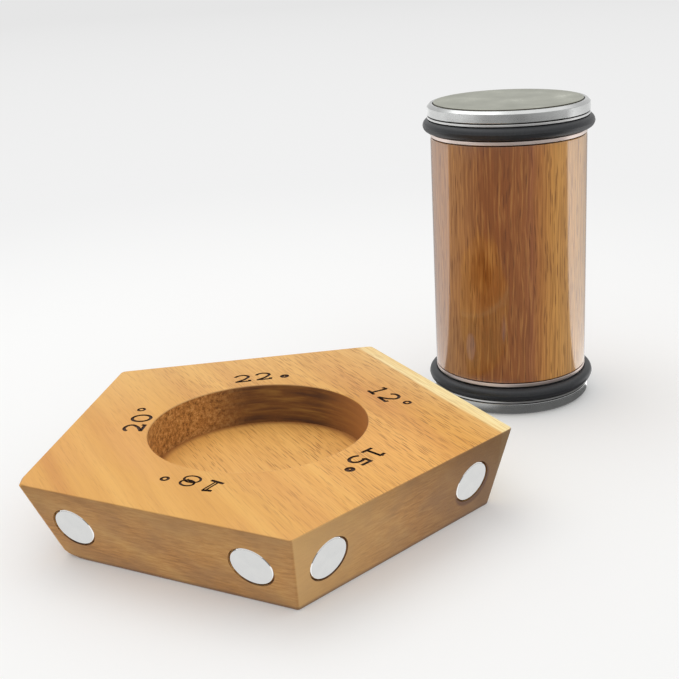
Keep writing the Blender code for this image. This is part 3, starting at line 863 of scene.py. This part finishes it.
def carve(target, mesh, material, place=None):
    """Cuts a mesh out of the target and lines the cut with a material."""
    mesh.materials.append(material)
    tool = put("tool", mesh)
    if place is not None:
        tool.matrix_world = place
    cut = target.modifiers.new("cut", "BOOLEAN")
    cut.operation = "DIFFERENCE"
    cut.solver = "EXACT"
    cut.use_self = True
    cut.material_mode = "TRANSFER"
    cut.object = tool
    bpy.context.view_layer.update()
    done = bpy.data.meshes.new_from_object(target.evaluated_get(bpy.context.evaluated_depsgraph_get()))
    target.modifiers.clear()
    target.data = done
    bpy.data.objects.remove(tool)


def pocket_cutter(name, depth, inner, outer):
    """One cutter for all the magnet pockets. Inner is its radius at this depth, outer above the sides."""
    shape = bmesh.new()
    for _, place in magnet_places():
        bmesh.ops.create_cone(
            shape, cap_ends=True, segments=medium_segments, radius1=inner, radius2=outer,
            depth=depth + cut_overrun, matrix=place @ Matrix.Translation((0.0, 0.0, (cut_overrun - depth) / 2)),
        )
    return mesh_from(shape, name)


def build_block(wood, bored, burnt):
    """The board with its recess, its magnet pockets and the numbers burnt into its top."""
    block = put("block_blank", block_mesh())
    block.data.materials.append(wood)
    rim = recess_radius + recess_rim_rounding
    floor = top_height - recess_depth
    wall = [
        (0.0, floor),
        (recess_radius, floor),
        *arc(rim, top_height - recess_rim_rounding, recess_rim_rounding, math.pi, math.pi / 2, fillet_steps),
        (rim, top_height + cut_overrun),
        (0.0, top_height + cut_overrun),
    ]
    recess = turned("recess", wall, fine_segments)
    carve(block, recess, bored, Matrix.Translation((recess_offset, 0.0, 0.0)))
    hole = magnet_radius + seat_gap
    carve(block, pocket_cutter("pockets", magnet_sink + magnet_length + seat_gap, hole, hole), bored)
    # Each pocket's mouth is lined with char, so a dark line runs round the magnet: painted shade for the gap
    flare = hole + pocket_mouth + cut_overrun
    carve(block, pocket_cutter("mouths", pocket_mouth + mouth_lap, hole - mouth_lap, flare), burnt)
    carve(block, number_mesh(), burnt)
    mesh = block.data
    bpy.data.objects.remove(block)
    # The recess's floor and rim are sanded and oiled like the top, so they take the board's material
    for face in mesh.polygons:
        on_floor = face.normal.z > 0.9 and abs(face.center.z - floor) < seat_gap
        at_rim = face.center.z > top_height - recess_rim_rounding
        on_rim = face.material_index == 1 and face.normal.z > 0.3 and at_rim
        if on_floor or on_rim:
            face.material_index = 0
    mesh.name = "oiled_block"
    piece("oiled_block", mesh, wood, "block", "angle_block")


def build_magnets(nickel, nickel_edge_highlight):
    """The ten magnets: one mesh, with a brighter plate on the chamfered edge between face and side, a painted
    highlight.
    """
    # Pressed in, each magnet all but fills its pocket
    radius = magnet_radius + seat_gap / 2
    outline = [
        (0.0, -magnet_sink),
        (radius - magnet_chamfer, -magnet_sink, 0.15 * mm),
        (radius, -magnet_sink - magnet_chamfer, 0.15 * mm),
        (radius, -magnet_sink - magnet_length, 0.2 * mm),
        (0.0, -magnet_sink - magnet_length),
    ]
    mesh = turned("magnet", outline, medium_segments)
    mesh.materials.append(nickel)
    mesh.materials.append(nickel_edge_highlight)
    # The chamfer's faces take the brighter plate, a painted highlight
    for face in mesh.polygons:
        face.material_index = int(0.05 < face.normal.z < 0.99)
    for name, place in magnet_places():
        piece(name + "_plated", mesh, nickel, "block", name, place)


# Roller

def end_place(end):
    """The frame of one end of the roller: its face is at height 0 and local +Z looks out of the roller."""
    if end == "upper":
        return Matrix.Translation((roller_x, roller_y, roller_top))
    return Matrix.Translation((roller_x, roller_y, 0.0)) @ Matrix.Rotation(math.pi, 4, "X")


def end_piece(end, name, outline, segments, finish, body, solid, thread=()):
    """Adds a turned piece of one end from its outline in depths.

    A thread is its radius, its two depths, and 1 or -1 for cut outwards or inwards.
    """
    mesh = turned(f"{end}_{solid}", inward(outline), segments)
    if thread:
        radius, near, far, way = thread
        cut_thread(mesh, radius, -far, -near, way)
    piece(f"{end}_{name}", mesh, finish, body, f"{end}_{solid}", end_place(end))


def sleeve(inner, outer, near, far, ease):
    """Outline of a plain ring with eased edges."""
    return [(inner, near, ease), (outer, near, ease), (outer, far, ease), (inner, far, ease)]


def build_carrier(end, steel):
    """The steel cap that carries a sharpening disc and screws into the wheel."""
    tray = disc_thickness + seat_gap
    boss_end = carrier_thickness + boss_length
    outline = [
        (0.0, tray),
        (disc_radius + seat_gap, tray),
        (disc_radius + seat_gap, disc_proud, 0.12 * mm),
        (wheel_radius - carrier_chamfer, disc_proud, 0.15 * mm),
        (wheel_radius, disc_proud + carrier_chamfer, 0.2 * mm),
        (wheel_radius, carrier_thickness, 0.2 * mm),
        (boss_radius, carrier_thickness),
        *thread_rows(boss_radius, carrier_thickness, boss_end),
        (boss_radius, boss_end),
        (boss_radius - boss_wall, boss_end),
        (boss_radius - boss_wall, tray + carrier_web),
        (0.0, tray + carrier_web),
    ]
    end_piece(
        end, "steel_cap", outline, fine_segments, steel, f"{end}_disc", "disc_carrier",
        thread=(boss_radius, carrier_thickness, boss_end, -1),
    )


def build_disc(name, shown_name, end, finish, bond):
    """One sharpening disc: its abrasive face, and the bond that shows round its edge."""
    outline = [(0.0, 0.0), (disc_radius, 0.0, 0.1 * mm), (disc_radius, disc_thickness), (0.0, disc_thickness)]
    mesh = turned(name, inward(outline), fine_segments)
    mesh.materials.append(finish)
    mesh.materials.append(bond)
    for face in mesh.polygons:
        face.material_index = int(abs(face.normal.z) < 0.5)
    piece(shown_name, mesh, finish, f"{end}_disc", name, end_place(end))


def build_hub(end, aluminium):
    """The wheel, with a threaded socket for the cap and a groove for the rubber ring."""
    groove_radius = ring_section + seat_gap
    lip_radius = ring_centre_radius - groove_radius + hub_lip_height
    outer_turn = math.acos((wheel_radius - ring_centre_radius) / groove_radius)
    inner_turn = math.tau - math.acos((lip_radius - ring_centre_radius) / groove_radius)
    groove = arc(ring_centre_radius, -ring_depth, groove_radius, outer_turn, inner_turn, groove_steps)
    neck_end = hub_back + neck_length
    hole = screw_radius + seat_gap
    socket = boss_radius + seat_gap
    outline = [
        (socket, hub_face),
        (wheel_radius, hub_face, 0.15 * mm),
        *inward(groove),
        (lip_radius, hub_back),
        (neck_radius, hub_back),
        (neck_radius, neck_end),
        (axle_radius + seat_gap, neck_end),
        (axle_radius + seat_gap, axle_end - seat_gap),
        (hole, axle_end - seat_gap),
        (hole, socket_floor),
        (socket, socket_floor),
        *thread_rows(socket, socket_floor, hub_face),
    ]
    end_piece(
        end, "wheel", outline, fine_segments, aluminium, "wheel_set", "wheel_hub",
        thread=(socket, hub_face, socket_floor, 1),
    )


def build_ring(end, rubber):
    """The rubber ring, with the thin flash line that its mould leaves round the outside."""
    turns = flash_half_turn, math.tau - flash_half_turn
    section = arc(ring_centre_radius, -ring_depth, ring_section - flash_height, *turns, ring_steps)
    section += [(ring_centre_radius + ring_section, -ring_depth)]
    outline = inward(section)
    end_piece(end, "grip_ring", outline, fine_segments, rubber, "wheel_set", "rubber_ring")


def build_screw(end, zinc):
    """The button-head screw that holds the wheel on the axle, with its hexagonal socket."""
    front = head_back - head_height
    tip = head_back + screw_length
    outline = [
        (0.0, front),
        (head_radius - head_crown, front, 0.4 * mm),
        (head_radius, front + head_crown, 0.3 * mm),
        (head_radius, head_back, 0.1 * mm),
        (screw_radius, head_back),
        *thread_rows(screw_radius, head_back, tip),
        (screw_radius, tip),
        (0.0, tip),
    ]
    mesh = turned(f"{end}_hub_screw", inward(outline), medium_segments)
    cut_thread(mesh, screw_radius, -tip, -head_back, -1)
    mesh.materials.append(zinc)
    blank = put("screw_blank", mesh)
    high, low = cut_overrun, -socket_depth
    key = [(0.0, high), (socket_radius, high), (socket_radius, low), (0.0, low)]
    carve(blank, turned("key", key, 6), zinc, Matrix.Translation((0.0, 0.0, -front)))
    mesh = blank.data
    bpy.data.objects.remove(blank)
    piece(f"{end}_button_screw", mesh, zinc, "wheel_set", f"{end}_hub_screw", end_place(end))


def build_plain_rings(end, zinc, aluminium, bearing_steel):
    """The washer, the end ring that holds the bearing, and the bearing's races and shields."""
    ease = 0.12 * mm
    near = head_back + seat_gap
    washer = sleeve(screw_radius + seat_gap, washer_radius, near, near + washer_thickness, ease)
    end_piece(end, "flat_washer", washer, medium_segments, zinc, "wheel_set", "washer")
    # The collar's aluminium is tinted rosy, a painted reflection of the barrel's wood
    collar = [
        (bearing_radius + seat_gap, end_ring_face, ease),
        (barrel_radius, end_ring_face, 0.2 * mm),
        (barrel_radius, end_ring_back, ease),
        (cup_radius, end_ring_back, ease),
        (cup_radius, cup_end, 0.3 * mm),
        (cup_bore, cup_end, ease),
        (cup_bore, cup_shoulder, ease),
        (bearing_radius + seat_gap, cup_shoulder),
    ]
    end_piece(end, "collar", collar, fine_segments, aluminium, "barrel", "end_ring")
    # The races, as heights about the bearing's middle
    middle = -bearing_face - bearing_width / 2
    half = bearing_width / 2
    bore = axle_radius + seat_gap
    offset = bearing_pitch_radius - neck_radius
    reach = math.sqrt(raceway_radius ** 2 - offset ** 2)
    start = math.atan2(-reach, -offset) + math.tau
    inner = [
        (bore, middle - half, 0.2 * mm),
        (neck_radius, middle - half, 0.2 * mm),
        *arc(bearing_pitch_radius, middle, raceway_radius, start, math.tau - start, raceway_steps),
        (neck_radius, middle + half, 0.2 * mm),
        (bore, middle + half, 0.2 * mm),
    ]
    end_piece(
        end, "inner_ring", inward(inner), medium_segments,
        bearing_steel, "wheel_set", "inner_race",
    )
    seat = half - shield_inset - shield_thickness - seat_gap
    seat_radius = outer_race_bore + shield_step
    turn = math.acos((outer_race_bore - bearing_pitch_radius) / raceway_radius)
    outer = [
        (bearing_radius, middle - half, 0.3 * mm),
        (bearing_radius, middle + half, 0.3 * mm),
        (seat_radius, middle + half),
        (seat_radius, middle + seat),
        (outer_race_bore, middle + seat),
        *arc(bearing_pitch_radius, middle, raceway_radius, turn, -turn, raceway_steps),
        (outer_race_bore, middle - seat),
        (seat_radius, middle - seat),
        (seat_radius, middle - half),
    ]
    end_piece(
        end, "outer_ring", inward(outer), medium_segments,
        bearing_steel, "barrel", "outer_race",
    )
    last = bearing_back - shield_inset - shield_thickness
    for face, near in (("outer", bearing_face + shield_inset), ("inner", last)):
        plate = sleeve(neck_radius + 0.4 * mm, seat_radius - seat_gap, near, near + shield_thickness, ease)
        name = f"bearing_{face}_shield"
        end_piece(end, name + "_plate", plate, medium_segments, zinc, "barrel", name)


def build_balls(end, bearing_steel):
    """The bearing's seven balls, each where its solid lies."""
    shape = bmesh.new()
    around, over = ball_segments
    bmesh.ops.create_uvsphere(shape, u_segments=around, v_segments=over, radius=ball_radius)
    mesh = mesh_from(shape, f"{end}_ball")
    for index in range(1, ball_count + 1):
        node = f"{end}_bearing_ball_{index}"
        low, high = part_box(node)
        place = Matrix.Translation((low + high) / 2)
        piece(f"{end}_steel_ball_{index}", mesh, bearing_steel, f"{end}_ball_set", node, place)


def build_barrel(walnut):
    """The turned wooden barrel, bored at each end for the bearing cups."""
    low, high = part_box("wooden_barrel")
    half = (high.z - low.z) / 2
    floor = half - (cup_end + seat_gap - wood_face)
    bore = cup_radius + seat_gap
    outline = [
        (bore, half, 0.2 * mm),
        (barrel_radius, half, 0.25 * mm),
        (barrel_radius, -half, 0.25 * mm),
        (bore, -half, 0.2 * mm),
        (bore, -floor),
        (barrel_bore, -floor),
        (barrel_bore, floor),
        (bore, floor),
    ]
    mesh = turned("wooden_barrel", outline, fine_segments)
    place = Matrix.Translation((low + high) / 2)
    piece("walnut_barrel", mesh, walnut, "barrel", "wooden_barrel", place)


def build_core(steel, aluminium):
    """The axle with its tapped ends, and the tube that keeps the bearings apart."""
    place = Matrix.Translation((roller_x, roller_y, roller_top / 2))
    half = roller_top / 2 - axle_end
    hole = screw_radius + seat_gap
    outline = [
        (0.0, half - axle_hole_depth),
        (hole, half - axle_hole_depth),
        (hole, half),
        (axle_radius, half, 0.3 * mm),
        (axle_radius, -half, 0.3 * mm),
        (hole, -half),
        (hole, axle_hole_depth - half),
        (0.0, axle_hole_depth - half),
    ]
    mesh = turned("axle", outline, medium_segments)
    piece("ground_axle", mesh, steel, "wheel_set", "axle", place)
    half = roller_top / 2 - bearing_back - seat_gap
    outline = sleeve(axle_radius + seat_gap, neck_radius, half, -half, 0.2 * mm)
    mesh = turned("spacer_tube", outline, medium_segments)
    piece("spacer_sleeve", mesh, aluminium, "wheel_set", "spacer_tube", place)


def dress_cage(end, nylon):
    """The cage keeps its own solid, with its edges rounded as a moulding's are."""
    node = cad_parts[f"{end}_bearing_cage"]
    node.data.materials.clear()
    node.data.materials.append(nylon)
    soften = node.modifiers.new("moulded_edges", "BEVEL")
    soften.width = 0.08 * mm
    soften.segments = 2


# Stage

def build_stage():
    """A pale studio floor that keeps the object's shadow and fades to an even white, and glows for glossy rays as
    a painted reflection.
    """
    shape = bmesh.new()
    bmesh.ops.create_circle(shape, cap_ends=True, segments=floor_segments, radius=floor_radius)
    floor = put("studio_floor", mesh_from(shape, "studio_floor"))
    material, add = new_finish("studio_floor")
    place = add("TexCoord", out="Object")
    far = add("VectorMath", (place,), out="Value", operation="LENGTH")
    fade = add("MapRange", (far, 0.16, 0.5, 0.2, 1.0), **smooth)
    dim = add("MapRange", (far, 0.5, 2.6, 0.88, 0.79))
    # Painted reflection: to glossy rays the table glows bright beside the roller, softer behind it and dark in
    # front
    from_roller = add("VectorMath", (place, (roller_x, roller_y, 0.0)), operation="SUBTRACT")
    aimed = add("VectorMath", (from_roller,), operation="NORMALIZE")
    behind = add("VectorMath", (aimed, behind_roller), out="Value", operation="DOT_PRODUCT")
    sides = add("MapRange", (behind, 0.05, 0.12, 0.21, 2.3), **smooth)
    sideways = add("SeparateXYZ", (aimed,))
    brightest = add("MapRange", (sideways, -0.84, 0.99, 1.5, 2.4))
    fall = add("MapRange", (behind, 0.12, 1.0, brightest, 0.3))
    sides = add("Math", (sides, fall), operation="MINIMUM")
    # Farther out it fades softly from bright sides to a grey middle, which is what the roller's rim mirrors
    halfway = add("VectorMath", (aimed, behind_roller), operation="SUBTRACT")
    halfway = add("VectorMath", (halfway,), operation="NORMALIZE")
    around = add("VectorMath", (halfway, beside_roller), out="Value", operation="DOT_PRODUCT")
    around = add("MapRange", (around, -1.0))
    # Going round from behind it, at 0, past its left side, its front at 0.5 and its right side, to 1
    levels = (
        (0.0, 0.7), (0.1, 0.7), (0.15, 0.96), (0.24, 1.0), (0.3, 0.94), (0.37, 0.45),
        (0.52, 0.38), (0.59, 0.29), (0.67, 0.48), (0.82, 0.6), (0.89, 0.54), (1.0, 0.54),
    )
    soft = add("ValToRGB", (around,), stops=[(at, (level, level, level, 1.0)) for at, level in levels])
    soft = add("Math", (soft, 2.0), operation="MULTIPLY")
    roller_far = add("VectorMath", (from_roller,), out="Value", operation="LENGTH")
    outer = add("MapRange", (roller_far, 0.55, 0.64), **smooth)
    sides = add("Mix", {0: outer, 2: sides, 3: soft}, data_type="FLOAT")
    # Right beside the block's magnets the table stays bright, up to 36 mm from what mirrors it
    rays = add("LightPath", out=None)
    near = add("MapRange", (rays["Ray Length"], 0.036, 0.028, 0.0, 0.98), **smooth)
    by_block = add("MapRange", (far, 0.086, 0.078), **smooth)
    near = add("Math", (near, by_block), operation="MULTIPLY")
    seen = add("Math", (sides, near), operation="MAXIMUM")
    paper = add("BsdfDiffuse", ("#F2F2F1",))
    even = add("Emission", ("#FFFFFF", dim))
    mirrored = add("Emission", ("#FFFFFF", seen))
    shown_share = add("Math", (fade, rays["Is Camera Ray"]), operation="MULTIPLY")
    surface = add("MixShader", (shown_share, paper, even))
    surface = add("MixShader", (rays["Is Glossy Ray"], surface, mirrored))
    add("OutputMaterial", (surface,))
    floor.data.materials.append(material)


def build_light():
    """A white tent: even light all round, mirrored as bright above and behind and darker in front."""
    world = bpy.data.worlds.new("studio")
    bpy.context.scene.world = world
    world.use_nodes = True
    add = nodes_of(world.node_tree)
    _, backward, upward = add("SeparateXYZ", (add("TexCoord", out="Generated"),), out=None)
    behind = add("MapRange", (backward, -0.25, 0.3, 0.75, 0.85), **smooth)
    above = add("MapRange", (upward, 0.45, 0.8), **smooth)
    mirrored = add("Mix", {0: above, 2: behind, 3: 1.5}, data_type="FLOAT")
    lit = add("MapRange", (upward, 0.0, 1.0, 0.5, 1.15))
    rays = add("LightPath", out=None)
    level = add("Mix", {0: rays["Is Glossy Ray"], 2: lit, 3: mirrored}, data_type="FLOAT")
    level = add("Mix", {0: rays["Is Camera Ray"], 2: level, 3: backdrop_level}, data_type="FLOAT")
    glow = add("Background", ("#FFFFFF", level))
    add("OutputWorld", (glow,))
    softbox = bpy.data.lights.new("overhead_softbox", "AREA")
    softbox.shape = "RECTANGLE"
    softbox.size = softbox_size
    softbox.size_y = softbox_size
    softbox.energy = softbox_power
    lamp = put("overhead_softbox", softbox)
    lamp.location = softbox_place
    lamp.rotation_euler = (softbox_aim - lamp.location).to_track_quat("-Z", "Y").to_euler()


def build_camera():
    """The camera, turned from its yaw, pitch and roll."""
    level_right = Vector((math.cos(camera_yaw), -math.sin(camera_yaw), 0.0))
    level = math.cos(camera_pitch)
    ahead = Vector((math.sin(camera_yaw) * level, math.cos(camera_yaw) * level, -math.sin(camera_pitch)))
    level_up = level_right.cross(ahead)
    right = level_right * math.cos(camera_roll) + level_up * math.sin(camera_roll)
    top = level_up * math.cos(camera_roll) - level_right * math.sin(camera_roll)
    lens = bpy.data.cameras.new("camera")
    lens.lens = camera_lens
    lens.sensor_width = 36.0
    lens.clip_start = 0.01
    lens.clip_end = 20.0
    camera = put("camera", lens)
    turn = Matrix((right, top, -ahead)).transposed().to_4x4()
    camera.matrix_world = Matrix.Translation(camera_place) @ turn
    bpy.context.scene.camera = camera


def main():
    wood = oiled_acacia()
    steel = machined("turned_steel", "#AFB0AF", "#BDBEBD", 0.24, 0.16, 0.25)
    aluminium = machined("spun_aluminium", "#BDBDBC", "#CACAC9", 0.3, 0.2, 0.25)
    # Aluminium tinted rosy: a painted reflection of the wooden barrel
    aluminium_with_painted_reflection = machined("aluminium_with_painted_reflection", "#D4C3BB", "#E0D2CA", 0.34, 0.2, 0.25)
    bearing_steel = machined("bearing_steel", "#C6C7C9", "#D3D4D6", 0.14, 0.12, 0.1)
    zinc = machined("zinc_plate", "#AEB3BA", "#C3C6C9", 0.32, 0.3, 0.15)
    nickel = nickel_plate("nickel_plate", "#D3D3D2", "#D8D8D6")
    # A brighter nickel for the magnets' chamfers: a painted highlight
    nickel_edge_highlight = nickel_plate("nickel_edge_painted_highlight", "#F1F0ED", "#F7F6F3")
    rubber = black_rubber()
    diamond = grit("diamond_grit", "#7C7D71", "#9A9B8E", "#BDBEB1", 0.25, 0.5)
    ceramic = grit("ceramic_grit", "#33343A", "#44464B", "#6A6C70", 0.0, 0.55)
    nylon = moulded_nylon()
    build_block(wood, bored_acacia(), burnt_wood_and_gap_shade())
    build_magnets(nickel, nickel_edge_highlight)
    for end in ("upper", "lower"):
        build_carrier(end, steel)
        build_hub(end, aluminium)
        build_ring(end, rubber)
        build_screw(end, zinc)
        build_plain_rings(end, zinc, aluminium_with_painted_reflection, bearing_steel)
        build_balls(end, bearing_steel)
        dress_cage(end, nylon)
    bond = disc_edge()
    build_disc("diamond_disc", "diamond_plate", "upper", diamond, bond)
    build_disc("honing_disc", "ceramic_plate", "lower", ceramic, bond)
    build_barrel(lacquered_walnut())
    build_core(steel, aluminium)
    build_stage()
    build_light()
    build_camera()
    bpy.context.scene.view_settings.view_transform = "Standard"


main()
